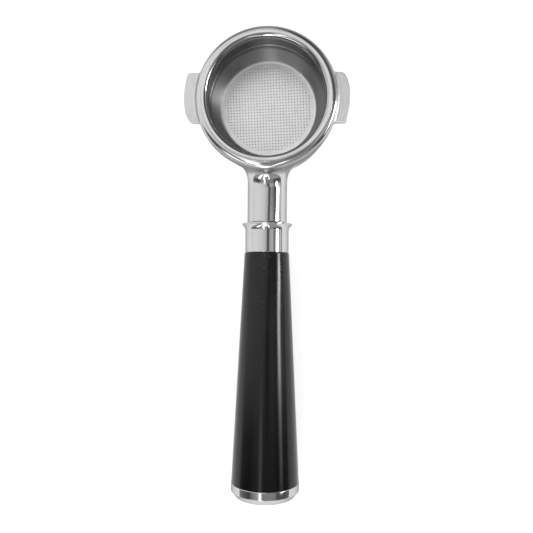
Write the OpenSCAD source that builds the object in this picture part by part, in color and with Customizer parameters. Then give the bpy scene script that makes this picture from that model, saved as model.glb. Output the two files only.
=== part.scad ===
// Bottomless portafilter for a 58 mm espresso group: a plated brass head with a neck, a lift-out
// filter basket held by a wire spring, and a grip clamped on by one long bolt from the rear.
// Frame: the origin is on the head's axis in the plane of the basket's flange. +Z is up, out of the
// basket, and the handle runs towards -Y.

/* [Basket] */
// Inside diameter of the basket, for a 58 mm tamper
basket_bore_d = 58.5; // [57:0.1:60]
// Depth from the flange's top to the inside of the floor
basket_depth = 24.6; // [20:0.2:27]
// Inside diameter at the foot, where the floor and the tapered wall meet
floor_d = 50.8; // [46:0.2:54]
// Diameter of the flange that seals against the group
flange_d = 65.4; // [64.6:0.1:67]
// Thickness of the sheet
sheet = 0.7; // [0.5:0.05:0.9]

// Diameter of one perforation
hole_d = 0.45; // [0.3:0.05:0.6]
// Distance between the rows of perforations
hole_pitch = 1.54; // [1.2:0.02:2]
// Diameter of the perforated field
field_d = 45; // [36:0.5:45]

/* [Head] */
// Diameter of the collar around the rim
collar_d = 71.6; // [70:0.1:74]
// Height of the collar
collar_height = 8.3; // [7:0.1:10]
// Diameter of the wall under the collar
wall_d = 66.6; // [65.6:0.1:68]
// Height of the whole head, from the flange's top
head_height = 31; // [29:0.5:34]
// Span over the two bayonet lugs
lug_span = 82.8; // [80:0.2:86]
// Width of a lug
lug_width = 24.9; // [20:0.1:28]
// Depth of a lug's top under the flange's top
lug_top = 3.2; // [2:0.1:4]
// Thickness of a lug
lug_thickness = 4.8; // [4:0.1:6]

/* [Handle] */
// Diameter of the neck
neck_d = 20.4; // [18:0.1:22]
// Depth of the handle's axis under the flange's top
axis_depth = 18.1; // [16:0.1:20]
// Distance from the head's axis to the ferrule
ferrule_start = 61.6; // [56:0.1:70]
// Length of the ferrule
ferrule_length = 15; // [12:0.5:20]
// Length of the grip
grip_length = 117.3; // [100:0.1:130]
// Diameter of the grip at the ferrule
grip_front_d = 23.1; // [22:0.1:26]
// Diameter of the grip at the rear
grip_rear_d = 34.8; // [32:0.1:38]
// Length of the end cap outside the grip
cap_length = 7.9; // [6:0.1:10]

/* [Hidden] */
$fn = 96;
// Clearance of a pilot fit on the radius, between pieces of one body
pilot_gap = 0.1;
// Number of chords in a quarter of a rounded edge
quarter = 4;

// Basket
bore_r = basket_bore_d / 2;
basket_outer_r = bore_r + sheet;
lip_r = 2.2; // inside radius of the bend under the flange
taper_top = 15.4; // depth at which the straight wall starts to taper
floor_r = floor_d / 2;
corner_r = 1.8;
taper_angle = atan2(bore_r - floor_r, basket_depth - taper_top);
corner_mid_r = floor_r - corner_r * tan(45 - taper_angle / 2); // middle of the round at the foot
ridge_depth = 11.6; // middle of the pressed ridge that the spring catches
ridge_half = 1.1; // half of its width inside
ridge_rise = 0.8;
ridge_arc_r = (pow(ridge_half, 2) + pow(ridge_rise, 2)) / (2 * ridge_rise);
ridge_centre_r = bore_r + ridge_rise - ridge_arc_r;
floor_join_r = corner_mid_r - 1; // inside edge of the pressed wall's part of the floor
grid_turn = 2.5; // angle of the rows of perforations to the X axis

// Head
collar_r = collar_d / 2;
collar_edge_r = 3.4;
head_bore_r = basket_outer_r + 0.95;
wall_r = wall_d / 2;
mouth_chamfer = 0.6;
foot_chamfer = 0.8;
neck_r = neck_d / 2;
root_fillet_r = 7.6; // plan radius where the neck grows out of the head
root_start = 26; // inside the head's bore, from the head's axis
root_front = 32.3; // where the fillet starts
root_end = 39.5; // where the neck becomes straight
root_r = neck_r + root_fillet_r - sqrt(pow(root_fillet_r, 2) - pow(root_end - root_front, 2));
under_edge_r = 0.8; // under the collar's edge
under_fillet_r = 1.2; // between the collar and the wall
lug_r = lug_span / 2;
lead_cut = 2.2; // corner cut off a lug's leading end
lead_cut_angle = 35;
ramp_length = 10;
ramp_angle = 5;

// Basket spring
wire_d = 1.2;
spring_depth = ridge_depth - 2;
spring_inner_r = basket_outer_r + 0.35;
spring_gap_angle = 14;
groove_r = 32.2;
groove_width = 1.8;

// Handle, measured along its axis from the head's axis
grip_start = ferrule_start + ferrule_length;
grip_end = grip_start + grip_length;
ferrule_r = 11.2;
flare_r = 12.9;
flare_length = 4;
flare_edge = 0.6;
spigot_r = 7;
spigot_length = 6;
rear_spigot_r = 8;
rear_spigot_length = 5;
grip_edge = 0.6;

// Tie bolt M8 x 120, DIN 912, with its washers
bolt_r = 4;
bolt_length = 120;
bolt_head_r = 6.5;
bolt_head_height = 8;
bolt_hex_af = 6;
bolt_hex_depth = 4;
bolt_point = 0.8;
bolt_hole_r = 4.3;
tapped_r = bolt_r + 0.05; // the threads are left as plain cylinders
tapped_end = 42;
pocket_r = 9.1; // counterbore at the grip's rear
pocket_depth = 32;
pocket_floor = grip_end - pocket_depth;
washer_r = 8;
washer_height = 1.6;
spring_washer_r = 7.4;
spring_washer_height = 2.1;
spring_washer_slot = 1;
bolt_seat = pocket_floor + washer_height + spring_washer_height;

// End cap and its O-ring
cap_r = 17.55;
cap_bevel = 0.35;
cap_band = 3.9; // length of the straight band
cap_face_r = 14.8; // where the sloping edge meets the crowned face
cap_crown = 0.8;
plug_r = pocket_r - pilot_gap;
plug_length = 12;
oring_section_r = 0.75;
oring_mid_r = 8.3;
oring_middle = grip_end - 7;
oring_groove_half = 1.1;

// Points on an arc, from one angle to the other
function arc(centre, radius, from, to, steps) =
    [for (i = [0:steps]) let (a = from + (to - from) * i / steps)
        centre + radius * [cos(a), sin(a)]];

// Puts a solid that stands on +Z onto the handle's axis, running towards -Y
module on_handle() {
    translate([0, 0, -axis_depth]) rotate([90, 0, 0]) children();
}

// A ring or disc on the handle's axis, between two distances from the head
module handle_disc(radius, from, to) {
    translate([0, 0, from]) cylinder(r = radius, h = to - from);
}

// Head ---------------------------------------------------------------------------------------

// The head's outside, still solid
module head_outside() {
    under_collar = -sheet - collar_height;
    rotate_extrude()
        polygon(concat(
            [[0, -head_height], [0, -sheet]],
            arc([collar_r - collar_edge_r, -sheet - collar_edge_r], collar_edge_r, 90, 0, quarter),
            arc([collar_r - under_edge_r, under_collar + under_edge_r], under_edge_r, 0, -90, 2),
            arc([wall_r + under_fillet_r, under_collar - under_fillet_r], under_fillet_r, 90, 180, 3),
            [
                [wall_r, -head_height + foot_chamfer],
                [wall_r - foot_chamfer, -head_height]
            ]
        ));
}

// The bore through the head, with its chamfers and the groove for the basket spring
module head_bore() {
    rotate_extrude()
        polygon([
            [0, -head_height - 1],
            [head_bore_r + foot_chamfer + 1, -head_height - 1],
            [head_bore_r, -head_height + foot_chamfer],
            [head_bore_r, -spring_depth - groove_width / 2],
            [groove_r, -spring_depth - groove_width / 2],
            [groove_r, -spring_depth + groove_width / 2],
            [head_bore_r, -spring_depth + groove_width / 2],
            [head_bore_r, -sheet - mouth_chamfer],
            [head_bore_r + mouth_chamfer + 1, -sheet + 1],
            [0, -sheet + 1]
        ]);
}

// The neck, with the trumpet that grows into the head and the spigot for the ferrule
module neck() {
    on_handle() rotate_extrude()
        polygon(concat(
            [[0, root_start], [root_r, root_start]],
            [for (i = [0:6]) let (u = root_front + (root_end - root_front) * i / 6)
                [neck_r + root_fillet_r - sqrt(pow(root_fillet_r, 2) - pow(root_end - u, 2)), u]],
            [
                [neck_r, ferrule_start - 0.5],
                [neck_r - 0.5, ferrule_start],
                [spigot_r, ferrule_start],
                [spigot_r, ferrule_start + spigot_length - 0.5],
                [spigot_r - 0.5, ferrule_start + spigot_length],
                [0, ferrule_start + spigot_length]
            ]
        ));
}

// The lug on +X, whose leading end is the one on +Y
module lug() {
    half = lug_width / 2;
    inner = collar_r - 1.5;
    base = -lug_top - lug_thickness;
    difference() {
        intersection() {
            translate([0, 0, base]) cylinder(r = lug_r, h = lug_thickness);
            translate([inner, -half, base]) cube([lug_r, lug_width, lug_thickness]);
        }
        // corner off the leading end
        translate([sqrt(pow(lug_r, 2) - pow(half, 2)) - lead_cut, half, base - 1])
            rotate([0, 0, lead_cut_angle - 90]) cube([10, 10, lug_thickness + 2]);
        // ramp under the leading end
        translate([inner - 1, half - ramp_length, base]) rotate([ramp_angle, 0, 0])
            translate([0, 0, -5]) cube([10, 2 * ramp_length, 5]);
    }
}

module head_casting() {
    color("silver")
    difference() {
        union() {
            head_outside();
            // the trumpet is faced off with the head's foot and stays under its rim
            intersection() {
                neck();
                translate([-neck_d, -ferrule_start - neck_d, -head_height])
                    cube([2 * neck_d, ferrule_start + neck_d, head_height - lug_top]);
            }
            for (turn = [0, 180])
                rotate([0, 0, turn]) lug();
        }
        head_bore();
        on_handle() handle_disc(tapped_r, tapped_end, ferrule_start + spigot_length + 1);
    }
}

// Basket -------------------------------------------------------------------------------------

// The ridge where it crosses a wall of the given radius, upwards (1) or downwards (-1)
function ridge(wall, radius, sense) = let (half = acos((wall - ridge_centre_r) / radius))
    arc([ridge_centre_r, -ridge_depth], radius, -half * sense, half * sense, 6);

// The pressed cup, from the flange to the round under the wall, with a plain hole for the floor
module basket_wall() {
    outer_lip_r = lip_r - sheet;
    flange_r = flange_d / 2;
    rotate_extrude()
        polygon(concat(
            [[floor_join_r, -basket_depth - sheet], [floor_join_r, -basket_depth]],
            arc([corner_mid_r, -basket_depth + corner_r], corner_r, -90, -taper_angle, quarter),
            [
                [bore_r, -taper_top]
            ],
            ridge(bore_r, ridge_arc_r, 1),
            arc([bore_r + lip_r, -lip_r], lip_r, 180, 90, quarter),
            [
                [flange_r - 0.2, 0],
                [flange_r, -0.2],
                [flange_r, -sheet + 0.2],
                [flange_r - 0.2, -sheet]
            ],
            arc([bore_r + lip_r, -lip_r], outer_lip_r, 90, 180, quarter),
            ridge(basket_outer_r, ridge_arc_r + sheet, -1),
            [
                [basket_outer_r, -taper_top - sheet * tan(taper_angle / 2)]
            ],
            arc([corner_mid_r, -basket_depth + corner_r], corner_r + sheet, -taper_angle, -90, quarter)
        ));
}

// The floor, with a square grid of perforations
module basket_floor() {
    rows = floor(field_d / 2 / hole_pitch);
    translate([0, 0, -basket_depth - sheet]) rotate([0, 0, grid_turn])
        linear_extrude(sheet) difference() {
            circle(r = (floor_join_r + corner_mid_r) / 2);
            for (i = [-rows:rows], j = [-rows:rows])
                if (norm([i, j]) * hole_pitch <= field_d / 2)
                    translate([i, j] * hole_pitch) circle(d = hole_d, $fn = 16);
        }
}

module filter_basket() {
    color("gainsboro") union() {
        basket_wall();
        basket_floor();
    }
}

module basket_spring() {
    color("darkgray")
    translate([0, 0, -spring_depth])
        rotate([0, 0, 90 + spring_gap_angle / 2])
            rotate_extrude(angle = 360 - spring_gap_angle)
                translate([spring_inner_r + wire_d / 2, 0]) circle(d = wire_d, $fn = 16);
}

// Handle -------------------------------------------------------------------------------------

module ferrule() {
    color("silver")
    on_handle()
        rotate_extrude()
            polygon(concat(
                [
                    [spigot_r + pilot_gap, ferrule_start],
                    [flare_r - flare_edge / 2, ferrule_start],
                    [flare_r, ferrule_start + flare_edge / 2],
                    [flare_r, ferrule_start + flare_edge]
                ],
                [for (i = [1:6]) let (t = i / 6)
                    [flare_r - (flare_r - ferrule_r) * sin(90 * t),
                        ferrule_start + flare_edge + (flare_length - flare_edge) * (1 - cos(90 * t))]],
                [
                    [ferrule_r, grip_start - 0.3],
                    [ferrule_r - 0.3, grip_start],
                    [rear_spigot_r, grip_start],
                    [rear_spigot_r, grip_start + rear_spigot_length],
                    [bolt_hole_r, grip_start + rear_spigot_length],
                    [bolt_hole_r, ferrule_start + spigot_length + 0.5],
                    [spigot_r + pilot_gap, ferrule_start + spigot_length + 0.5]
                ]
            ));
}

module handle_grip() {
    front_r = grip_front_d / 2;
    rear_r = grip_rear_d / 2;
    color("#262626")
    on_handle()
        rotate_extrude()
            polygon(concat(
                [[rear_spigot_r + pilot_gap, grip_start]],
                arc([front_r - grip_edge, grip_start + grip_edge], grip_edge, -90, 0, 3),
                [
                    [rear_r, grip_end - 0.3],
                    [rear_r - 0.3, grip_end],
                    [pocket_r, grip_end],
                    [pocket_r, pocket_floor],
                    [bolt_hole_r, pocket_floor],
                    [bolt_hole_r, grip_start + rear_spigot_length + 0.5],
                    [rear_spigot_r + pilot_gap, grip_start + rear_spigot_length + 0.5]
                ]
            ));
}

module tie_bolt() {
    color("dimgray")
    on_handle() difference() {
        rotate_extrude()
            polygon([
                [0, bolt_seat - bolt_length],
                [bolt_r - bolt_point, bolt_seat - bolt_length],
                [bolt_r, bolt_seat - bolt_length + bolt_point],
                [bolt_r, bolt_seat],
                [bolt_head_r, bolt_seat],
                [bolt_head_r, bolt_seat + bolt_head_height - 0.4],
                [bolt_head_r - 0.4, bolt_seat + bolt_head_height],
                [0, bolt_seat + bolt_head_height]
            ]);
        translate([0, 0, bolt_seat + bolt_head_height - bolt_hex_depth])
            cylinder(d = bolt_hex_af / cos(30), h = bolt_hex_depth + 1, $fn = 6);
    }
}

module bolt_washer() {
    color("lightgray")
    on_handle() difference() {
        handle_disc(washer_r, pocket_floor, pocket_floor + washer_height);
        handle_disc(bolt_hole_r, pocket_floor - 1, pocket_floor + washer_height + 1);
    }
}

// A split washer, cut through on one side with a slanted slot
module spring_washer() {
    base = pocket_floor + washer_height;
    color("gray")
    on_handle() difference() {
        handle_disc(spring_washer_r, base, base + spring_washer_height);
        handle_disc(bolt_hole_r, base - 1, base + spring_washer_height + 1);
        translate([0, 0, base + spring_washer_height / 2]) rotate([0, 25, 0])
            translate([-spring_washer_slot / 2, 0, -5])
                cube([spring_washer_slot, 2 * spring_washer_r, 10]);
    }
}

module end_cap() {
    cap_end = grip_end + cap_length;
    groove_bottom_r = oring_mid_r - oring_section_r;
    color("silver")
    on_handle()
        rotate_extrude()
            polygon([
                [0, grip_end - plug_length],
                [plug_r - 0.5, grip_end - plug_length],
                [plug_r, grip_end - plug_length + 0.5],
                [plug_r, oring_middle - oring_groove_half],
                [groove_bottom_r, oring_middle - oring_groove_half],
                [groove_bottom_r, oring_middle + oring_groove_half],
                [plug_r, oring_middle + oring_groove_half],
                [plug_r, grip_end],
                [cap_r - cap_bevel, grip_end],
                [cap_r, grip_end + cap_bevel],
                [cap_r, grip_end + cap_band],
                [cap_face_r + 1, cap_end - 2 * cap_crown],
                [cap_face_r, cap_end - cap_crown],
                [cap_face_r / 2, cap_end - cap_crown / 4],
                [0, cap_end]
            ]);
}

module end_cap_oring() {
    color("#303030")
    on_handle()
        translate([0, 0, oring_middle])
            rotate_extrude()
                translate([oring_mid_r, 0]) circle(r = oring_section_r, $fn = 16);
}

head_casting();
filter_basket();
basket_spring();
ferrule();
handle_grip();
tie_bolt();
bolt_washer();
spring_washer();
end_cap();
end_cap_oring();
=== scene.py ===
"""Bottomless portafilter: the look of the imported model, in metres and in the CAD frame."""
import math

import bmesh
import bpy
import numpy as np
from mathutils.geometry import delaunay_2d_cdt
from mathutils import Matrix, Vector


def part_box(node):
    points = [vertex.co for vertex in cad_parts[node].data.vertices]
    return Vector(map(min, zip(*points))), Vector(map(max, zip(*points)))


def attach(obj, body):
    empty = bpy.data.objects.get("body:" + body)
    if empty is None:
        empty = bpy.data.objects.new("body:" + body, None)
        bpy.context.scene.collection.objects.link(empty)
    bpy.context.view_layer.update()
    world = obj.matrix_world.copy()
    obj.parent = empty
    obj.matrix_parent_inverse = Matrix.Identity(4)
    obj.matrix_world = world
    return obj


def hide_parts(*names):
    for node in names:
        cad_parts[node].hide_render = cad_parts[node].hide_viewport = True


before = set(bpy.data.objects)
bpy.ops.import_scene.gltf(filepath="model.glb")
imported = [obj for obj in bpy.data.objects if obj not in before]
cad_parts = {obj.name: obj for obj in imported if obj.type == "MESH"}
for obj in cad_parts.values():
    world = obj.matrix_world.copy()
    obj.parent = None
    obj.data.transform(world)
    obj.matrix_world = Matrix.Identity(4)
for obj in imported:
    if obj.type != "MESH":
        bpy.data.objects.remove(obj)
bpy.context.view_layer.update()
mm = 0.001


# ---------------------------------------------------------------- sizes, from the frame's boxes

head_low, head_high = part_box("head_casting")
basket_low, basket_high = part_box("filter_basket")
ferrule_low, ferrule_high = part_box("ferrule")
grip_low, grip_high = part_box("handle_grip")
cap_low, cap_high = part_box("end_cap")

AXIS_Z = (grip_low[2] + grip_high[2]) / 2  # height of the handle's axis
FERRULE_FROM = -ferrule_high[1]  # distances along the handle from the head's axis
GRIP_FROM = -grip_high[1]
GRIP_TO = -grip_low[1]
CAP_TO = -cap_low[1]
GRIP_REAR_R = (grip_high[2] - grip_low[2]) / 2
GRIP_FRONT_R = 11.55 * mm
FLARE_R = (ferrule_high[2] - ferrule_low[2]) / 2
FERRULE_R = 11.2 * mm
CAP_R = (cap_high[2] - cap_low[2]) / 2
NECK_R = 10.2 * mm
SPIGOT_R = 7 * mm
SPIGOT_LENGTH = 6 * mm
BOLT_HOLE_R = 4.3 * mm
POCKET_R = 9.1 * mm
POCKET_DEPTH = 32 * mm

SHEET = 0.7 * mm
BASKET_BORE_R = 29.25 * mm
BASKET_DEPTH = -basket_low[2] - SHEET
BASKET_FOOT_R = 25.4 * mm  # where the floor and the tapered wall would meet in a sharp corner
BASKET_CORNER_R = 1.8 * mm
BASKET_TAPER_TOP = 15.4 * mm
BASKET_TAPER = math.atan2(BASKET_BORE_R - BASKET_FOOT_R, BASKET_DEPTH - BASKET_TAPER_TOP)
FLANGE_R = basket_high[0]
LIP_R = 2.2 * mm
RIDGE_DEPTH = 11.6 * mm
RIDGE_HALF = 1.1 * mm
RIDGE_RISE = 0.8 * mm
RIDGE_ARC_R = (RIDGE_HALF ** 2 + RIDGE_RISE ** 2) / (2 * RIDGE_RISE)
RIDGE_EDGE = 0.15 * mm
RIDGE_STEPS = 12
TAPER_FILLET = 3 * mm
FLANGE_EDGE = 0.28 * mm
HOLE_R = 0.225 * mm
HOLE_SIDES = 12
HOLE_PITCH = 1.54 * mm
HOLE_FIELD_R = 22.5 * mm
HOLE_GRID_TURN = math.radians(2.5)
BASKET_SEGMENTS = 288
FLOOR_JOIN_R = 23.2 * mm

COLLAR_R = 35.8 * mm
COLLAR_UNDER = -9.0 * mm
WALL_R = 33.3 * mm
HEAD_BORE_R = 30.9 * mm
HEAD_FOOT = head_low[2]
LUG_R = head_high[0]
LUG_HALF = 12.45 * mm
LUG_TOP = -3.2 * mm
LUG_BASE = -8.0 * mm
GROOVE_R = 32.2 * mm
GROOVE_Z = -RIDGE_DEPTH + 2 * mm
GROOVE_HALF = 0.9 * mm
TAPPED_R = 4.05 * mm
TAPPED_FROM = 42 * mm

# Where the parts of the head start inside each other, and the lugs' leading corner and ramp
WALL_INTO_COLLAR = 3 * mm
NECK_FROM = 20 * mm
SPIGOT_FROM = 50 * mm
LUG_FROM = 30 * mm
LUG_CUT_AT = 38.1 * mm
LUG_CUT_NORMAL = (0.82, 0.57)  # across the handle, and towards the leading side
LUG_RAMP_LENGTH = 10 * mm
LUG_RAMP_SLOPE = 0.087

# How wide the head's fillets and rounded edges are
RIM_EDGE = 4 * mm
PLAIN_EDGE = 1 * mm
SMALL_EDGE = 0.8 * mm  # at the bore and the neck's end
UNDER_COLLAR_FILLET = 1.6 * mm
NECK_FILLET = 8.5 * mm
LUG_FILLET = 0.9 * mm
LUG_CORNER = 1.5 * mm
LUG_EDGE = 0.7 * mm
SPIGOT_EDGE = 0.5 * mm
GROOVE_EDGE = 0.3 * mm

ROUGH_VOXEL = 0.7 * mm
FINE_VOXEL = 0.48 * mm
LONGEST_MOVE = 0.6 * mm  # how far a point may move in one round towards the head's surface

TINY = 1e-7  # points closer than this are one point


# ---------------------------------------------------------------- camera, floor and light

SENSOR_WIDTH = 36
LENS_LENGTH = 40.98
CAMERA_AT = (16.8 * mm, -89.8 * mm, 295.4 * mm)
CAMERA_TURN = (1.14, 3.08, 0.47)  # degrees from looking straight down

FLOOR_HALF = 4.0
PAPER_GLOW = 0.75
GLOW_FADES = (75 * mm, 150 * mm)  # beyond the head


def make_camera():
    """The photograph's view: from above, a little to the right of the handle and slightly tilted."""
    lens = bpy.data.cameras.new("camera")
    lens.sensor_width = SENSOR_WIDTH
    lens.lens = LENS_LENGTH
    lens.clip_start = 0.01
    camera = bpy.data.objects.new("camera", lens)
    camera.location = CAMERA_AT
    camera.rotation_euler = [math.radians(a) for a in CAMERA_TURN]
    bpy.context.collection.objects.link(camera)
    bpy.context.scene.camera = camera


def make_floor():
    """A plain pale floor that touches the foot of the head and the rear end of the grip."""
    far, near = WALL_R, -GRIP_TO
    slope = (HEAD_FOOT - (AXIS_Z - CAP_R)) / (far - near)
    mesh = bpy.data.meshes.new("floor")
    corners = [(x * FLOOR_HALF, y * FLOOR_HALF, HEAD_FOOT + (y * FLOOR_HALF - far) * slope)
               for x, y in ((-1, -1), (1, -1), (1, 1), (-1, 1))]
    mesh.from_pydata(corners, [], [(0, 1, 2, 3)])
    floor = bpy.data.objects.new("floor", mesh)
    bpy.context.collection.objects.link(floor)
    paper = Finish("floor_paper", Base_Color=0.45, Roughness=0.9, Specular_IOR_Level=0.0,
                   Emission_Color=(1, 1, 1, 1))
    # the paper glows like a lit table, except under the head and well beyond it
    outside_head = paper.remap(paper.radius(), HEAD_BORE_R - 5 * mm, WALL_R, 0, PAPER_GLOW)
    before_end = paper.remap(paper.axes()[1], *GLOW_FADES, 1, 0)
    paper.set("Emission Strength", paper.product(outside_head, before_end))
    mesh.materials.append(paper.material)


# Brightness of the studio round the handle's axis: degrees from straight up, towards +X.
# The dark stretch overhead is the camera's boom. The bright one from 53 to 64 is the window, with
# dark frames on both sides of it. The neck, the ferrule and the grip's front half see this.
STUDIO_SIDES = (
    (-180, 1.0), (-95, 1.0), (-60, 1.1), (-24, 0.95), (-10, 0.8), (0, 0.6), (4, 0.14), (13, 0.15),
    (18, 0.55), (34, 0.7), (39, 0.3), (49, 0.35), (53, 1.7), (64, 1.6), (67, 0.35), (70, 0.35),
    (74, 0.8), (83, 0.75), (87, 0.25), (97, 0.3), (100, 0.9), (180, 1.0),
)
# The same further out beyond the head, as the rim, the lugs and the basket's floor see it
STUDIO_FRONT = (
    (-180, 1.0), (-95, 1.0), (-60, 1.1), (-35, 1.1), (-18, 1.6), (7, 1.6), (13, 0.6), (50, 0.5),
    (60, 1.2), (83, 1.1), (87, 0.4), (97, 0.4), (110, 0.9), (180, 1.0),
)
# The same beyond the grip's end, as the grip's rear half and the cap see it: the photographer stands
# there in front of a thin line of light
STUDIO_REAR = (
    (-180, 0.8), (-100, 0.9), (-88, 0.34), (-76, 0.16), (-57, 0.09), (-48, 0.09), (-44, 0.2),
    (-20, 0.5), (-15, 2.2), (-11, 2.2), (-7, 0.32), (36, 0.32), (43, 0.12), (72, 0.1), (93, 0.25),
    (108, 0.9), (180, 0.8),
)
# The same lower down behind the photographer, with three lamps
STUDIO_LOW = (
    (-180, 0.45), (-62, 0.45), (-56, 2.5), (-44, 2.5), (-38, 0.45), (-25, 0.45), (-22, 4.0),
    (-17, 4.0), (-14, 0.45), (11, 0.45), (13, 3.0), (16, 3.0), (18, 0.45), (180, 0.45),
)
PROFILE_SCALE = 4  # a colour ramp holds values up to 1

# Where these give way to each other. Every span here is of a direction's y: -1 points back along the
# handle, 0 straight up or to the sides, and 1 forwards beyond the head.
SIDES_TO_FRONT = (0.16, 0.24)
REAR_TO_SIDES = (-0.24, -0.04)
LOW_TO_REAR = (-0.58, -0.46)
FAR_SPAN = (0.6, 0.85)
FAR_SHADE = 0.3  # what is left of the light low down beyond the head
LEAN_SPAN = (0.06, 0.14)
STUDIO_LEAN = 7  # degrees that window and boom lean over beside the head

# The sun in the window: its strip, and its strength from the grip's end to the head
SUN_STRIP = ((-180, 0), (53, 0), (56, 1), (63, 1), (67, 0), (180, 0))
SUN_STARTS = (-0.31, -0.26)
SUN_REAR = 2.2  # its strength at the grip's end
SUN_GROWS = (-0.18, 0.05)
SUN_STRENGTH = 18
GLARE_GROWS = (0.04, 0.15)
SUN_GLARE = 36  # how much stronger it is beside the head
SUN_ENDS = (0.15, 0.22)
SUN_BEYOND_HEAD = 0.03  # the part of it that is left further out

# A dark flag beyond the head's right side, and a spotlight behind the photographer that lights the
# basket's far wall. Each has a direction, half the angle it takes up, and its soft edge, in degrees.
FLAG_TOWARDS = (0.6, 0.6, 0.53)
FLAG_HALF_ANGLE = 32
FLAG_EDGE = 8
FLAG_SHADE = 0.25  # what it leaves of the light
SPOT_TOWARDS = (-0.08, -0.9, 0.43)
SPOT_HALF_ANGLE = 5
SPOT_EDGE = 1
SPOT_STRENGTH = 14


def make_studio():
    """A world whose light depends on direction alone."""
    world = bpy.data.worlds.new("studio")
    bpy.context.scene.world = world
    world.use_nodes = True
    tree = world.node_tree
    where = tree.nodes.new("ShaderNodeTexCoord").outputs["Generated"]
    axes = tree.nodes.new("ShaderNodeSeparateXYZ")
    tree.links.new(where, axes.inputs["Vector"])

    def combine(operation, a, b):
        node = tree.nodes.new("ShaderNodeMath")
        node.operation = operation
        for place, value in zip(node.inputs, (a, b)):
            if isinstance(value, bpy.types.NodeSocket):
                tree.links.new(value, place)
            else:
                place.default_value = value
        return node.outputs["Value"]

    def remap(value, low, high, to_low, to_high):
        node = tree.nodes.new("ShaderNodeMapRange")
        node.interpolation_type = "SMOOTHSTEP"
        tree.links.new(value, node.inputs["Value"])
        for socket, number in zip(("From Min", "From Max", "To Min", "To Max"), (low, high, to_low, to_high)):
            node.inputs[socket].default_value = number
        return node.outputs["Result"]

    def along(span, before, after):
        """A value that goes from before to after while a direction's y crosses the span."""
        return remap(axes.outputs["Y"], *span, before, after)

    def profile(stops, scale, angle_seen):
        """Brightness by angle; the angle seen is in turns, with 0.5 straight up."""
        ramp = tree.nodes.new("ShaderNodeValToRGB")
        tree.links.new(angle_seen, ramp.inputs["Fac"])
        stripes = ramp.color_ramp.elements
        while len(stripes) < len(stops):
            stripes.new(1.0)
        for stripe, (angle, brightness) in zip(stripes, stops):
            stripe.position = angle / 360 + 0.5
            stripe.color = (brightness / scale,) * 3 + (1,)
        return combine("MULTIPLY", ramp.outputs["Color"], scale)

    def mix(factor, a, b):
        return combine("ADD", a, combine("MULTIPLY", factor, combine("SUBTRACT", b, a)))

    def disc(towards, half_angle, edge, outside, inside):
        """A round patch of the studio; towards is a direction, and the angles are in degrees."""
        nearness = tree.nodes.new("ShaderNodeVectorMath")
        nearness.operation = "DOT_PRODUCT"
        nearness.inputs[1].default_value = towards
        tree.links.new(where, nearness.inputs[0])
        outer, inner = (math.cos(math.radians(half_angle + side * edge)) for side in (1, -1))
        return remap(nearness.outputs["Value"], outer, inner, outside, inside)

    turn = combine("ARCTAN2", axes.outputs["X"], axes.outputs["Z"])
    turn = combine("ADD", combine("DIVIDE", turn, 2 * math.pi), 0.5)
    leaning = combine("SUBTRACT", turn, along(LEAN_SPAN, 0, STUDIO_LEAN / 360))
    sides = profile(STUDIO_SIDES, PROFILE_SCALE, leaning)
    front, rear, low = (profile(stops, PROFILE_SCALE, turn)
                        for stops in (STUDIO_FRONT, STUDIO_REAR, STUDIO_LOW))
    around = mix(along(SIDES_TO_FRONT, 0, 1), sides, front)
    around = mix(along(REAR_TO_SIDES, 0, 1), rear, around)
    around = mix(along(LOW_TO_REAR, 0, 1), low, around)
    around = combine("MULTIPLY", around, along(FAR_SPAN, 1, FAR_SHADE))

    strength = combine("ADD", along(SUN_GROWS, SUN_REAR, SUN_STRENGTH), along(GLARE_GROWS, 0, SUN_GLARE))
    sun = combine("MULTIPLY", profile(SUN_STRIP, 1, leaning), strength)
    sun = combine("MULTIPLY", sun, along(SUN_STARTS, 0, 1))
    sun = combine("MULTIPLY", sun, along(SUN_ENDS, 1, SUN_BEYOND_HEAD))

    flag = disc(FLAG_TOWARDS, FLAG_HALF_ANGLE, FLAG_EDGE, 1, FLAG_SHADE)
    spot = disc(SPOT_TOWARDS, SPOT_HALF_ANGLE, SPOT_EDGE, 0, SPOT_STRENGTH)
    total = combine("ADD", combine("MULTIPLY", combine("ADD", around, sun), flag), spot)
    background = tree.nodes["Background"]
    background.inputs["Color"].default_value = (1, 1, 1, 1)
    tree.links.new(total, background.inputs["Strength"])


# ---------------------------------------------------------------- shapes

def rounded(corners, closed=False, step=math.radians(7)):
    """An outline through corners (radius, height, fillet radius), each corner rounded by its fillet."""
    points = []
    count = len(corners)
    for i, (r, h, fillet) in enumerate(corners):
        here = np.array((r, h))
        ends = not closed and i in (0, count - 1)
        if fillet == 0 or ends:
            points.append(tuple(here))
            continue
        before = np.array(corners[i - 1][:2]) - here
        after = np.array(corners[(i + 1) % count][:2]) - here
        before, after = before / np.linalg.norm(before), after / np.linalg.norm(after)
        half = math.acos(max(-1.0, min(1.0, float(before @ after)))) / 2
        reach = fillet / math.tan(half)
        middle = here + (before + after) / np.linalg.norm(before + after) * fillet / math.sin(half)
        first, last = here + before * reach - middle, here + after * reach - middle
        turn = math.atan2(first[0] * last[1] - first[1] * last[0], float(first @ last))
        steps = max(2, math.ceil(abs(turn) / step))
        for k in range(steps + 1):
            c, s = math.cos(turn * k / steps), math.sin(turn * k / steps)
            points.append((middle[0] + first[0] * c - first[1] * s, middle[1] + first[0] * s + first[1] * c))
    return points


def new_piece(name, mesh, body, node):
    """A piece that rides on a body and stands for a CAD node."""
    piece = bpy.data.objects.new(name, mesh)
    bpy.context.collection.objects.link(piece)
    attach(piece, body)
    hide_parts(node)


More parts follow.
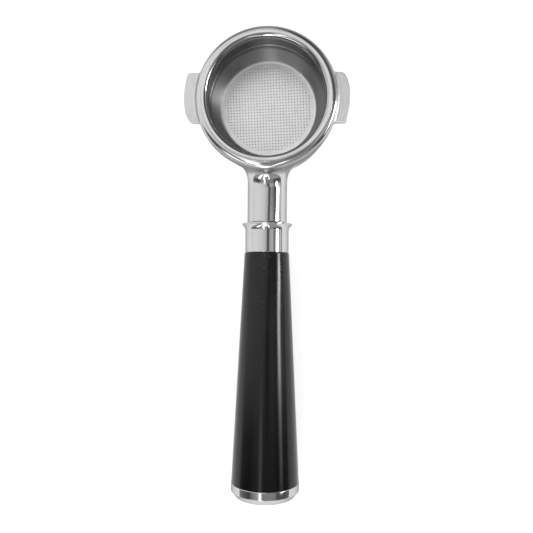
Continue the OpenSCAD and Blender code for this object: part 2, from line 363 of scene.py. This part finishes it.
def lathe_mesh(name, outline, segments, closed=False, along_handle=False):
    """A surface of revolution. The outline's heights run up Z, or along the handle from the head."""
    points, faces, rings = [], [], []
    angles = [2 * math.pi * k / segments for k in range(segments)]
    for radius, height in outline:
        if radius < TINY:
            rings.append([len(points)] * segments)
            points.append((0, 0, height))
        else:
            rings.append(list(range(len(points), len(points) + segments)))
            points.extend((radius * math.cos(a), radius * math.sin(a), height) for a in angles)
    for low, high in zip(rings, rings[1:] + ([rings[0]] if closed else [])):
        for k in range(segments):
            n = (k + 1) % segments
            loop = [low[k], low[n], high[n], high[k]]
            loop = [v for i, v in enumerate(loop) if v != loop[i - 1]]  # a triangle at the axis
            if len(loop) > 2:
                faces.append(loop)
    if along_handle:
        points = [(x, -z, y + AXIS_Z) for x, y, z in points]
    mesh = bpy.data.meshes.new(name)
    mesh.from_pydata(points, [], faces)
    return mesh


def finish_mesh(mesh, crease=math.radians(35)):
    """Faces outwards, smooth shading, and creases where the surface turns sharply."""
    work = bmesh.new()
    work.from_mesh(mesh)
    bmesh.ops.remove_doubles(work, verts=work.verts, dist=TINY)
    bmesh.ops.recalc_face_normals(work, faces=work.faces)
    work.to_mesh(mesh)
    work.free()
    mesh.polygons.foreach_set("use_smooth", [True] * len(mesh.polygons))
    mesh.set_sharp_from_angle(angle=crease)
    return mesh


# ---------------------------------------------------------------- head casting

def smooth_min(a, b, k):
    """The smaller of two distances, with a fillet where they differ by less than k."""
    h = np.maximum(k - np.abs(a - b), 0) / k
    return np.minimum(a, b) - h * h * k / 4


def smooth_max(a, b, k):
    return -smooth_min(-a, -b, k)


def head_distance(p):
    """Signed distance to the head's surface, negative inside, with its fillets and rounded edges."""
    x, y, z = p.T
    r = np.hypot(x, y)
    s = np.hypot(x, z - AXIS_Z)
    along = -y
    across, lead = np.abs(x), y * np.sign(x)

    collar = smooth_max(r - COLLAR_R, z + SHEET, RIM_EDGE)
    collar = smooth_max(collar, COLLAR_UNDER - z, PLAIN_EDGE)
    wall = smooth_max(r - WALL_R, z - COLLAR_UNDER - WALL_INTO_COLLAR, PLAIN_EDGE)
    body = smooth_min(collar, wall, UNDER_COLLAR_FILLET)
    neck = smooth_max(s - NECK_R, along - FERRULE_FROM, SMALL_EDGE)
    body = smooth_min(body, np.maximum(neck, NECK_FROM - along), NECK_FILLET)
    body = smooth_max(body, HEAD_FOOT - z, PLAIN_EDGE)

    lug = smooth_max(r - LUG_R, np.abs(lead) - LUG_HALF, LUG_FILLET)
    cut = (across - LUG_CUT_AT) * LUG_CUT_NORMAL[0] + (lead - LUG_HALF) * LUG_CUT_NORMAL[1]
    lug = smooth_max(lug, cut, LUG_CORNER)
    lug = smooth_max(lug, z - LUG_TOP, LUG_EDGE)
    ramp = LUG_BASE - z + np.maximum(lead - LUG_HALF + LUG_RAMP_LENGTH, 0) * LUG_RAMP_SLOPE
    lug = smooth_max(lug, ramp, LUG_EDGE)
    body = smooth_min(body, np.maximum(lug, LUG_FROM - across), LUG_FILLET)

    spigot = smooth_max(s - SPIGOT_R, along - FERRULE_FROM - SPIGOT_LENGTH, SPIGOT_EDGE)
    body = np.minimum(body, np.maximum(spigot, SPIGOT_FROM - along))
    body = smooth_max(body, HEAD_BORE_R - r, SMALL_EDGE)
    groove = smooth_max(r - GROOVE_R, np.abs(z - GROOVE_Z) - GROOVE_HALF, GROOVE_EDGE)
    body = smooth_max(body, -groove, GROOVE_EDGE)
    hole = np.maximum(s - TAPPED_R, TAPPED_FROM - along)
    return np.maximum(body, -hole)


def gradient(p, step=0.01 * mm):
    """The slope of head_distance at each point."""
    slopes = []
    for axis in range(3):
        move = np.zeros(3)
        move[axis] = step
        slopes.append((head_distance(p + move) - head_distance(p - move)) / (2 * step))
    return np.array(slopes).T


def settle(mesh, rounds=8):
    """Moves the mesh's points onto the head's surface; returns their outward normals."""
    p = np.empty(len(mesh.vertices) * 3)
    mesh.vertices.foreach_get("co", p)
    p = p.reshape(-1, 3)
    for _ in range(rounds):
        g = gradient(p)
        # where the slope is small, in a fillet's corner, the step is held back
        move = head_distance(p)[:, None] * g / np.maximum((g * g).sum(1), 0.25)[:, None]
        size = np.linalg.norm(move, axis=1, keepdims=True)
        p = p - move * np.minimum(1, LONGEST_MOVE / np.maximum(size, 1e-9))
    mesh.vertices.foreach_set("co", p.ravel())
    g = gradient(p)
    return g / np.linalg.norm(g, axis=1, keepdims=True)


def voxel_remesh(mesh, size):
    """The union of the mesh's closed shells as even quads."""
    holder = bpy.data.objects.new("remesh", mesh)
    bpy.context.collection.objects.link(holder)
    remesh = holder.modifiers.new("voxels", "REMESH")
    remesh.mode = "VOXEL"
    remesh.voxel_size = size
    result = bpy.data.meshes.new_from_object(holder.evaluated_get(bpy.context.evaluated_depsgraph_get()))
    bpy.data.objects.remove(holder)
    return result


def join_meshes(name, meshes):
    """One mesh with the points and faces of all of them."""
    points, faces = [], []
    for mesh in meshes:
        start = len(points)
        points.extend(tuple(v.co) for v in mesh.vertices)
        faces.extend([start + v for v in f.vertices] for f in mesh.polygons)
    joined = bpy.data.meshes.new(name)
    joined.from_pydata(points, [], faces)
    return joined


def lug_block(name, side):
    """A plain block that holds one lug; side is 1 for the right one and -1 for the left one."""
    inner, outer = COLLAR_R - 2 * mm, LUG_R
    mesh = bpy.data.meshes.new(name)
    xs, ys, zs = (inner * side, outer * side), (-LUG_HALF, LUG_HALF), (LUG_BASE, LUG_TOP)
    mesh.from_pydata([(x, y, z) for x in xs for y in ys for z in zs], [],
                     [(0, 1, 3, 2), (4, 6, 7, 5), (0, 4, 5, 1), (2, 3, 7, 6), (0, 2, 6, 4), (1, 5, 7, 3)])
    return mesh


def make_head():
    """The head's rough shells become one mesh of even quads, which settles on the true surface."""
    groove_low, groove_high = GROOVE_Z - GROOVE_HALF, GROOVE_Z + GROOVE_HALF
    ring = lathe_mesh("ring", [
        (HEAD_BORE_R, -SHEET), (COLLAR_R, -SHEET), (COLLAR_R, COLLAR_UNDER), (WALL_R, COLLAR_UNDER),
        (WALL_R, HEAD_FOOT), (HEAD_BORE_R, HEAD_FOOT), (HEAD_BORE_R, groove_low), (GROOVE_R, groove_low),
        (GROOVE_R, groove_high), (HEAD_BORE_R, groove_high),
    ], segments=180, closed=True)
    start, end = 32 * mm, FERRULE_FROM + SPIGOT_LENGTH
    neck = lathe_mesh("neck", [
        (0, start), (NECK_R, start), (NECK_R, FERRULE_FROM), (SPIGOT_R, FERRULE_FROM), (SPIGOT_R, end),
        (TAPPED_R, end), (TAPPED_R, TAPPED_FROM), (0, TAPPED_FROM),
    ], segments=96, along_handle=True)
    rough = [finish_mesh(m) for m in (ring, neck, lug_block("lug_right", 1), lug_block("lug_left", -1))]
    mesh = voxel_remesh(join_meshes("head_rough", rough), ROUGH_VOXEL)
    settle(mesh)
    mesh = voxel_remesh(mesh, FINE_VOXEL)
    mesh.name = "head"
    normals = settle(mesh)
    mesh.polygons.foreach_set("use_smooth", [True] * len(mesh.polygons))
    mesh.normals_split_custom_set_from_vertices([tuple(n) for n in normals])
    mesh.materials.append(head_plating())
    new_piece("head", mesh, "holder", "head_casting")


# ---------------------------------------------------------------- filter basket

def perforated_floor():
    """The basket's floor out to the join circle, with its square grid of through holes."""
    turn_c, turn_s = math.cos(HOLE_GRID_TURN), math.sin(HOLE_GRID_TURN)
    rows = int(HOLE_FIELD_R / HOLE_PITCH)
    centres = [(i * turn_c - j * turn_s, i * turn_s + j * turn_c)
               for i in range(-rows, rows + 1) for j in range(-rows, rows + 1)
               if math.hypot(i, j) * HOLE_PITCH <= HOLE_FIELD_R]
    centres = np.array(centres) * HOLE_PITCH
    points, edges, loops = [], [], []

    def add_circle(x, y, radius, sides):
        first = len(points)
        points.extend((x + radius * math.cos(2 * math.pi * k / sides),
                       y + radius * math.sin(2 * math.pi * k / sides)) for k in range(sides))
        loop = [(first + k, first + (k + 1) % sides) for k in range(sides)]
        edges.extend(loop)
        return loop

    # the triangulation runs in millimetres, which suit its tolerance
    add_circle(0, 0, FLOOR_JOIN_R / mm, BASKET_SEGMENTS)
    for x, y in centres / mm:
        loops.extend(add_circle(x, y, HOLE_R / mm, HOLE_SIDES))
    flat, _, triangles, _, _, _ = delaunay_2d_cdt(points, edges, [], 1, 1e-6)
    flat = np.array([tuple(v) for v in flat]) * mm
    middles = flat[np.array(triangles)].mean(1)
    open_cells = np.zeros(len(triangles), bool)
    for x, y in centres:
        open_cells |= np.hypot(middles[:, 0] - x, middles[:, 1] - y) < HOLE_R * 0.95
    solid = [t for t, is_open in zip(triangles, open_cells) if not is_open]
    count = len(flat)
    faces = [tuple(t) for t in solid] + [tuple(v + count for v in reversed(t)) for t in solid]
    faces += [(a, b, b + count, a + count) for a, b in loops]
    top = [(x, y, -BASKET_DEPTH) for x, y in flat]
    bottom = [(x, y, -BASKET_DEPTH - SHEET) for x, y in flat]
    mesh = bpy.data.meshes.new("basket_floor")
    mesh.from_pydata(top + bottom, [], faces)
    return mesh


def basket_outline():
    """The pressed wall's outline: up the inside, round the lip, out along the flange and down outside."""
    floor_inside = (BASKET_FOOT_R, -BASKET_DEPTH, BASKET_CORNER_R)
    foot_outer_r = BASKET_FOOT_R + SHEET * (1 / math.cos(BASKET_TAPER) - math.tan(BASKET_TAPER))
    floor_outside = (foot_outer_r, -BASKET_DEPTH - SHEET, BASKET_CORNER_R + SHEET)
    outer_taper_top = BASKET_TAPER_TOP + SHEET * math.tan(BASKET_TAPER / 2)
    middle = BASKET_BORE_R + RIDGE_RISE - RIDGE_ARC_R

    def ridge(wall, radius, sense):
        """The ridge's arc where it stands out of a wall; sense 1 goes up and -1 goes down."""
        half = math.acos((wall - middle) / radius) * sense
        angles = [half * (2 * k / RIDGE_STEPS - 1) for k in range(RIDGE_STEPS + 1)]
        return [(middle + radius * math.cos(a), radius * math.sin(a) - RIDGE_DEPTH,
                 RIDGE_EDGE if k in (0, RIDGE_STEPS) else 0) for k, a in enumerate(angles)]

    inside = [(FLOOR_JOIN_R, -BASKET_DEPTH, 0), floor_inside]
    inside += [(BASKET_BORE_R, -BASKET_TAPER_TOP, TAPER_FILLET)] + ridge(BASKET_BORE_R, RIDGE_ARC_R, 1)
    inside += [(BASKET_BORE_R, 0, LIP_R)]
    rim = [(FLANGE_R, 0, FLANGE_EDGE), (FLANGE_R, -SHEET, FLANGE_EDGE)]
    outer = BASKET_BORE_R + SHEET
    outside = [(outer, -SHEET, LIP_R - SHEET)] + ridge(outer, RIDGE_ARC_R + SHEET, -1)
    outside += [(outer, -outer_taper_top, TAPER_FILLET), floor_outside]
    outside += [(FLOOR_JOIN_R, -BASKET_DEPTH - SHEET, 0)]
    return rounded(inside + rim + outside, step=math.radians(6))


def make_basket():
    wall = lathe_mesh("basket_wall", basket_outline(), BASKET_SEGMENTS)
    mesh = finish_mesh(join_meshes("basket", (wall, perforated_floor())))
    mesh.materials.append(basket_steel())
    new_piece("basket", mesh, "basket", "filter_basket")


# ---------------------------------------------------------------- handle

HANDLE_SEGMENTS = 256


def make_handle_piece(name, node, material, corners, closed=False):
    """A turned piece of the handle; its corners are (radius, distance from the head's axis, fillet)."""
    outline = rounded(corners, closed)
    mesh = finish_mesh(lathe_mesh(name, outline, HANDLE_SEGMENTS, closed, along_handle=True))
    mesh.materials.append(material)
    new_piece(name, mesh, "holder", node)


def make_ferrule():
    inside_r = SPIGOT_R + 0.1 * mm
    rear_spigot_r, rear_spigot_end = 8 * mm, GRIP_FROM + 5 * mm
    step = FERRULE_FROM + SPIGOT_LENGTH + 0.5 * mm
    lip, flare_length, flare_curve_r, edge_r = 0.7 * mm, 2.4 * mm, 3.6 * mm, 0.25 * mm
    plating = chrome("ferrule_plating").material
    make_handle_piece("ferrule_collar", "ferrule", plating, [
        (inside_r, FERRULE_FROM, 0),
        (FLARE_R, FERRULE_FROM, edge_r),
        (FLARE_R, FERRULE_FROM + lip, 0.3 * mm),
        (FERRULE_R, FERRULE_FROM + flare_length, flare_curve_r),
        (FERRULE_R, GRIP_FROM, edge_r),
        (rear_spigot_r, GRIP_FROM, 0),
        (rear_spigot_r, rear_spigot_end, 0.3 * mm),
        (BOLT_HOLE_R, rear_spigot_end, 0),
        (BOLT_HOLE_R, step, 0),
        (inside_r, step, 0),
    ], closed=True)


def make_grip():
    counterbore_r, counterbore_to = 8.1 * mm, GRIP_FROM + 5.5 * mm
    make_handle_piece("grip", "handle_grip", grip_black(), [
        (counterbore_r, GRIP_FROM, 0),
        (GRIP_FRONT_R, GRIP_FROM, 0.55 * mm),
        (GRIP_REAR_R, GRIP_TO, 0.35 * mm),
        (POCKET_R, GRIP_TO, 0),
        (POCKET_R, GRIP_TO - POCKET_DEPTH, 0),
        (BOLT_HOLE_R, GRIP_TO - POCKET_DEPTH, 0),
        (BOLT_HOLE_R, counterbore_to, 0),
        (counterbore_r, counterbore_to, 0),
    ], closed=True)


def make_cap():
    plug_r, plug_from = POCKET_R - 0.1 * mm, -cap_high[1]
    groove_r, groove_from, groove_to = 7.55 * mm, GRIP_TO - 8.1 * mm, GRIP_TO - 5.9 * mm
    groove_edge = 0.1 * mm
    band_to = GRIP_TO + 3.9 * mm
    end_r, end_rise, end_curve_r = 15.2 * mm, 0.9 * mm, 1.6 * mm
    plating = chrome("cap_plating").material
    make_handle_piece("cap", "end_cap", plating, [
        (0, plug_from, 0),
        (plug_r, plug_from, 0.5 * mm),
        (plug_r, groove_from, groove_edge),
        (groove_r, groove_from, groove_edge),
        (groove_r, groove_to, groove_edge),
        (plug_r, groove_to, groove_edge),
        (plug_r, GRIP_TO, 0),
        (CAP_R, GRIP_TO, 0.3 * mm),
        (CAP_R, band_to, 0.2 * mm),
        (end_r, CAP_TO - end_rise, end_curve_r),
        (0, CAP_TO, 0),
    ])


# ---------------------------------------------------------------- materials

class Finish:
    """A procedural material: one Principled shader and the nodes that vary it, in object space."""

    def __init__(self, name, **sockets):
        self.material = bpy.data.materials.new(name)
        self.material.use_nodes = True
        self.tree = self.material.node_tree
        self.shader = self.tree.nodes["Principled BSDF"]
        for socket, value in sockets.items():
            value = (value, value, value, 1) if socket == "Base_Color" else value
            self.shader.inputs[socket.replace("_", " ")].default_value = value
        self.where = self.tree.nodes.new("ShaderNodeTexCoord").outputs["Object"]

    def node(self, kind, settings=(), **inputs):
        """A new node; each input is a value or another node's output. _0 is the first input."""
        node = self.tree.nodes.new(kind)
        for key, value in dict(settings).items():
            setattr(node, key, value)
        for key, value in inputs.items():
            key = int(key[1:]) if key[0] == "_" else key.replace("_", " ")
            if isinstance(value, bpy.types.NodeSocket):
                self.tree.links.new(value, node.inputs[key])
            else:
                node.inputs[key].default_value = value
        return node

    def stretched(self, scale):
        return self.node("ShaderNodeMapping", Vector=self.where, Scale=scale).outputs["Vector"]

    def noise(self, scale, detail=3.0, vector=None, roughness=0.55):
        return self.node("ShaderNodeTexNoise", Vector=vector or self.where, Scale=scale, Detail=detail,
                         Roughness=roughness).outputs["Fac"]

    def remap(self, value, low, high, to_low, to_high):
        return self.node("ShaderNodeMapRange", Value=value, From_Min=low, From_Max=high,
                         To_Min=to_low, To_Max=to_high).outputs["Result"]

    def spread(self, noise, to_low, to_high):
        """A noise stays mostly between 0.3 and 0.7; that range is stretched to the one given."""
        return self.remap(noise, 0.3, 0.7, to_low, to_high)

    def math(self, operation, a, b=0.0):
        return self.node("ShaderNodeMath", {"operation": operation}, _0=a, _1=b).outputs["Value"]

    def product(self, first, *others):
        for other in others:
            first = self.math("MULTIPLY", first, other)
        return first

    def blend(self, factor, a, b):
        return self.node("ShaderNodeMix", Factor=factor, A=a, B=b).outputs["Result"]

    def axes(self, vector=None):
        split = self.node("ShaderNodeSeparateXYZ", Vector=vector or self.where)
        return split.outputs["X"], split.outputs["Y"], split.outputs["Z"]

    def radius(self, vector=None):
        """The distance from the Z axis."""
        x, y, _ = self.axes(vector)
        return self.math("SQRT", self.math("ADD", self.product(x, x), self.product(y, y)))

    def grey(self, value):
        return self.node("ShaderNodeCombineColor", Red=value, Green=value, Blue=value).outputs["Color"]

    def bump(self, height, strength, distance):
        """Adds relief; calls after the first build on the one before."""
        before = self.shader.inputs["Normal"].links
        more = {"Normal": before[0].from_socket} if before else {}
        relief = self.node("ShaderNodeBump", Height=height, Strength=strength, Distance=distance, **more)
        self.set("Normal", relief.outputs["Normal"])

    def set(self, socket, value):
        self.tree.links.new(value, self.shader.inputs[socket])

    def source(self, socket):
        """What is linked to one of the shader's sockets now."""
        return self.shader.inputs[socket].links[0].from_socket


SHADED_EDGE_TINT = (0.45, 0.45, 0.45, 1)  # painted shade: the reflection is darkened where the surface turns away, standing in for the shade under the object that the edges reflect


def chrome(name):
    """Polished plating with faint wipe marks and fine scratches."""
    # the specular tint paints shade into the reflection where the surface turns away
    finish = Finish(name, Base_Color=0.58, Metallic=1.0, Roughness=0.06, Specular_Tint=SHADED_EDGE_TINT)
    wipe_marks = finish.noise(90, 5, roughness=0.65)
    finish.set("Roughness", finish.remap(wipe_marks, 0.35, 0.75, 0.045, 0.11))
    finish.set("Base Color", finish.grey(finish.spread(finish.noise(35, 4), 0.56, 0.61)))
    scratches = finish.noise(1.0, 4, finish.stretched((260, 4200, 260)))
    finish.bump(scratches, 0.01, 0.02 * mm)
    unevenness = finish.noise(110, 2)
    finish.bump(unevenness, 0.5, 0.08 * mm)
    return finish


def head_plating():
    """The plating on the head: brushed to satin on the lugs, and rougher in the crease over the neck, where
    painted shade darkens it.
    """
    lug_satin, crease_satin, crease_painted_shade = 0.42, 0.3, 0.45
    crease_r = COLLAR_R + 0.6 * mm
    finish = chrome("head_plating")
    radius = finish.radius()
    x, y, z = finish.axes()
    on_lug = finish.product(
        finish.remap(radius, COLLAR_R - 0.9 * mm, COLLAR_R - 0.2 * mm, 0, 1),
        finish.remap(z, LUG_TOP + 0.4 * mm, LUG_TOP + 1 * mm, 1, 0),
        finish.math("LESS_THAN", finish.math("ABSOLUTE", y), LUG_HALF + 0.2 * mm))
    from_crease = finish.math("ABSOLUTE", finish.math("SUBTRACT", radius, crease_r))
    in_crease = finish.product(
        finish.remap(from_crease, 0.6 * mm, 2.2 * mm, 1, 0),
        finish.remap(y, -18 * mm, -24 * mm, 0, 1),
        finish.remap(z, AXIS_Z, COLLAR_UNDER, 0, 1))
    rough = finish.math("ADD", finish.source("Roughness"), finish.product(on_lug, lug_satin))
    finish.set("Roughness", finish.math("ADD", rough, finish.product(in_crease, crease_satin)))
    # the group's ramps brush the lugs along their arc
    arc = finish.node("ShaderNodeCombineXYZ", X=finish.product(radius, 1800),
                      Y=finish.product(finish.math("ARCTAN2", y, x), 8))
    brushed = finish.spread(finish.noise(1.0, 4, arc.outputs["Vector"]), 0.04, 0.24)
    # painted shade: the crease over the neck is darkened by up to 0.45
    crease_shaded = finish.math("SUBTRACT", 1.0, finish.product(in_crease, crease_painted_shade))
    # brushing marks lighten the lugs; painted shade darkens the crease
    brushing_and_crease_shade = finish.math("ADD", crease_shaded, finish.product(on_lug, brushed))
    plain = finish.node("ShaderNodeSeparateColor", Color=finish.source("Base Color")).outputs["Red"]
    finish.set("Base Color", finish.grey(finish.product(plain, brushing_and_crease_shade)))
    return finish.material


def distance_to_hole(finish):
    """How far a point of the basket's floor is from the middle of the nearest hole."""
    grid = finish.node("ShaderNodeMapping", {"vector_type": "TEXTURE"}, Vector=finish.where,
                       Rotation=(0, 0, HOLE_GRID_TURN), Scale=(HOLE_PITCH, HOLE_PITCH, 1)).outputs["Vector"]
    from_hole = finish.node("ShaderNodeVectorMath", {"operation": "WRAP"}, _0=grid, _1=(0.5, 0.5, 0.5),
                            _2=(-0.5, -0.5, -0.5)).outputs["Vector"]
    return finish.product(finish.radius(from_hole), HOLE_PITCH)


def basket_steel():
    """Pressed stainless: a bright rim, a drawn wall with faint stains whose inside is darkened with painted
    shade, and a pale matt floor with painted shade round its holes and in its corner.
    """
    # the specular tint paints shade into the reflection where the surface turns away
    finish = Finish("basket_stainless", Base_Color=0.6, Metallic=1.0, Roughness=0.2, Specular_Tint=SHADED_EDGE_TINT,
                    Anisotropic_Rotation=0.25)
    _, _, z = finish.axes()
    on_floor = finish.remap(z, -BASKET_DEPTH + 1.2 * mm, -BASKET_DEPTH + 0.8 * mm, 0, 1)
    on_wall = finish.remap(z, -LIP_R, -1.6 * LIP_R, 0, 1)
    # drawing marks run round the wall and spread its reflections up and down
    tangent = finish.node("ShaderNodeTangent", {"direction_type": "RADIAL", "axis": "Z"})
    finish.set("Tangent", tangent.outputs["Tangent"])
    finish.set("Anisotropic", finish.product(on_wall, finish.math("SUBTRACT", 0.95, on_floor)))
    drawn = finish.noise(1.0, 3, finish.stretched((30, 30, 2600)))
    finish.bump(drawn, 0.03, 0.05 * mm)
    wall_rough = finish.blend(on_wall, 0.1, finish.spread(drawn, 0.28, 0.38))
    floor_rough = finish.spread(finish.noise(900, 3), 0.42, 0.56)
    finish.set("Roughness", finish.blend(on_floor, wall_rough, floor_rough))

    outwards = finish.node("ShaderNodeVectorMath", {"operation": "MULTIPLY"}, _0=finish.where, _1=(1, 1, 0))
    facing = finish.node("ShaderNodeVectorMath", {"operation": "DOT_PRODUCT"}, _0=outwards.outputs["Vector"],
                         _1=finish.node("ShaderNodeTexCoord").outputs["Normal"])
    inside = finish.math("LESS_THAN", facing.outputs["Value"], 0)
    stain = finish.spread(finish.noise(60, 4), -0.05, 0.05)
    # painted shade: the inside of the wall is darker than the rim, darkest on the straight band above the
    # taper
    shaded_wall_tone = finish.remap(z, -BASKET_TAPER_TOP - 1 * mm, -BASKET_TAPER_TOP + 1 * mm, 0.32, 0.18)
    wall_tone = finish.math("ADD", finish.blend(finish.product(on_wall, inside), 0.42, shaded_wall_tone), stain)
    # painted shade: darker rings round the holes, and a darker corner under the wall
    ring = finish.remap(distance_to_hole(finish), HOLE_R + 0.05 * mm, HOLE_R + 0.3 * mm, 0.3, 0)
    field = finish.remap(finish.radius(), HOLE_FIELD_R, HOLE_FIELD_R + 0.3 * mm, 1, 0)
    clean = finish.spread(finish.noise(160, 4), 0.86, 0.93)
    floor_tone = finish.math("SUBTRACT", clean, finish.product(ring, field))
    # painted shade in the corner fillet between the floor and the wall
    corner_shade = finish.remap(z, -BASKET_DEPTH + 0.02 * mm, -BASKET_DEPTH + 0.3 * mm, 1, 0.45)
    floor_tone = finish.product(floor_tone, corner_shade)
    finish.set("Base Color", finish.grey(finish.blend(on_floor, wall_tone, floor_tone)))
    return finish.material


def grip_black():
    """Black semi-gloss grip: fine grain, softly varied gloss, and pale scuffs near the ferrule."""
    finish = Finish("grip_satin_black", Base_Color=0.012, Roughness=0.2, Specular_IOR_Level=0.3)
    _, y, _ = finish.axes()
    finish.set("Roughness", finish.spread(finish.noise(45, 5), 0.12, 0.2))
    near_ferrule = finish.remap(y, -GRIP_FROM - 50 * mm, -GRIP_FROM - 5 * mm, 0, 1)
    specks = finish.remap(finish.noise(700, 2, roughness=0.7), 0.66, 0.74, 0, 1)
    scuffs = finish.product(specks, near_ferrule, 0.08)
    cloud = finish.spread(finish.noise(30, 4), 0.6, 1.1)
    tone_along_grip = finish.remap(y, -GRIP_TO, -GRIP_FROM - 30 * mm, 0.003, 0.011)  # lighter towards the front
    finish.set("Base Color", finish.grey(finish.math("ADD", scuffs, finish.product(cloud, tone_along_grip))))
    grain = finish.noise(1600, 3)
    finish.bump(grain, 0.06, 0.05 * mm)
    waviness = finish.noise(60, 3)
    finish.bump(waviness, 0.05, 0.3 * mm)
    return finish.material


def zinc(name, tone):
    """Dull zinc plating or drawn wire."""
    finish = Finish(name, Base_Color=tone, Metallic=1.0, Roughness=0.35)
    finish.set("Roughness", finish.spread(finish.noise(250, 4), 0.28, 0.45))
    finish.bump(finish.noise(1500, 2), 0.05, 0.03 * mm)
    return finish.material


def rubber():
    finish = Finish("oring_rubber", Base_Color=0.02, Roughness=0.6)
    finish.set("Roughness", finish.spread(finish.noise(400, 3), 0.5, 0.7))
    return finish.material


def finish_node(node, material):
    """A CAD node that keeps its shape gets a better material on its own slots."""
    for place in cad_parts[node].material_slots:
        place.material = material


# ---------------------------------------------------------------- the scene

bpy.context.scene.view_settings.view_transform = "Standard"
make_camera()
make_floor()
make_studio()

make_head()
make_basket()
make_ferrule()
make_grip()
make_cap()
finish_node("basket_spring", zinc("spring_wire", 0.55))
finish_node("tie_bolt", zinc("bolt_zinc", 0.4))
finish_node("bolt_washer", zinc("washer_zinc", 0.6))
finish_node("spring_washer", zinc("spring_washer_zinc", 0.5))
finish_node("end_cap_oring", rubber())
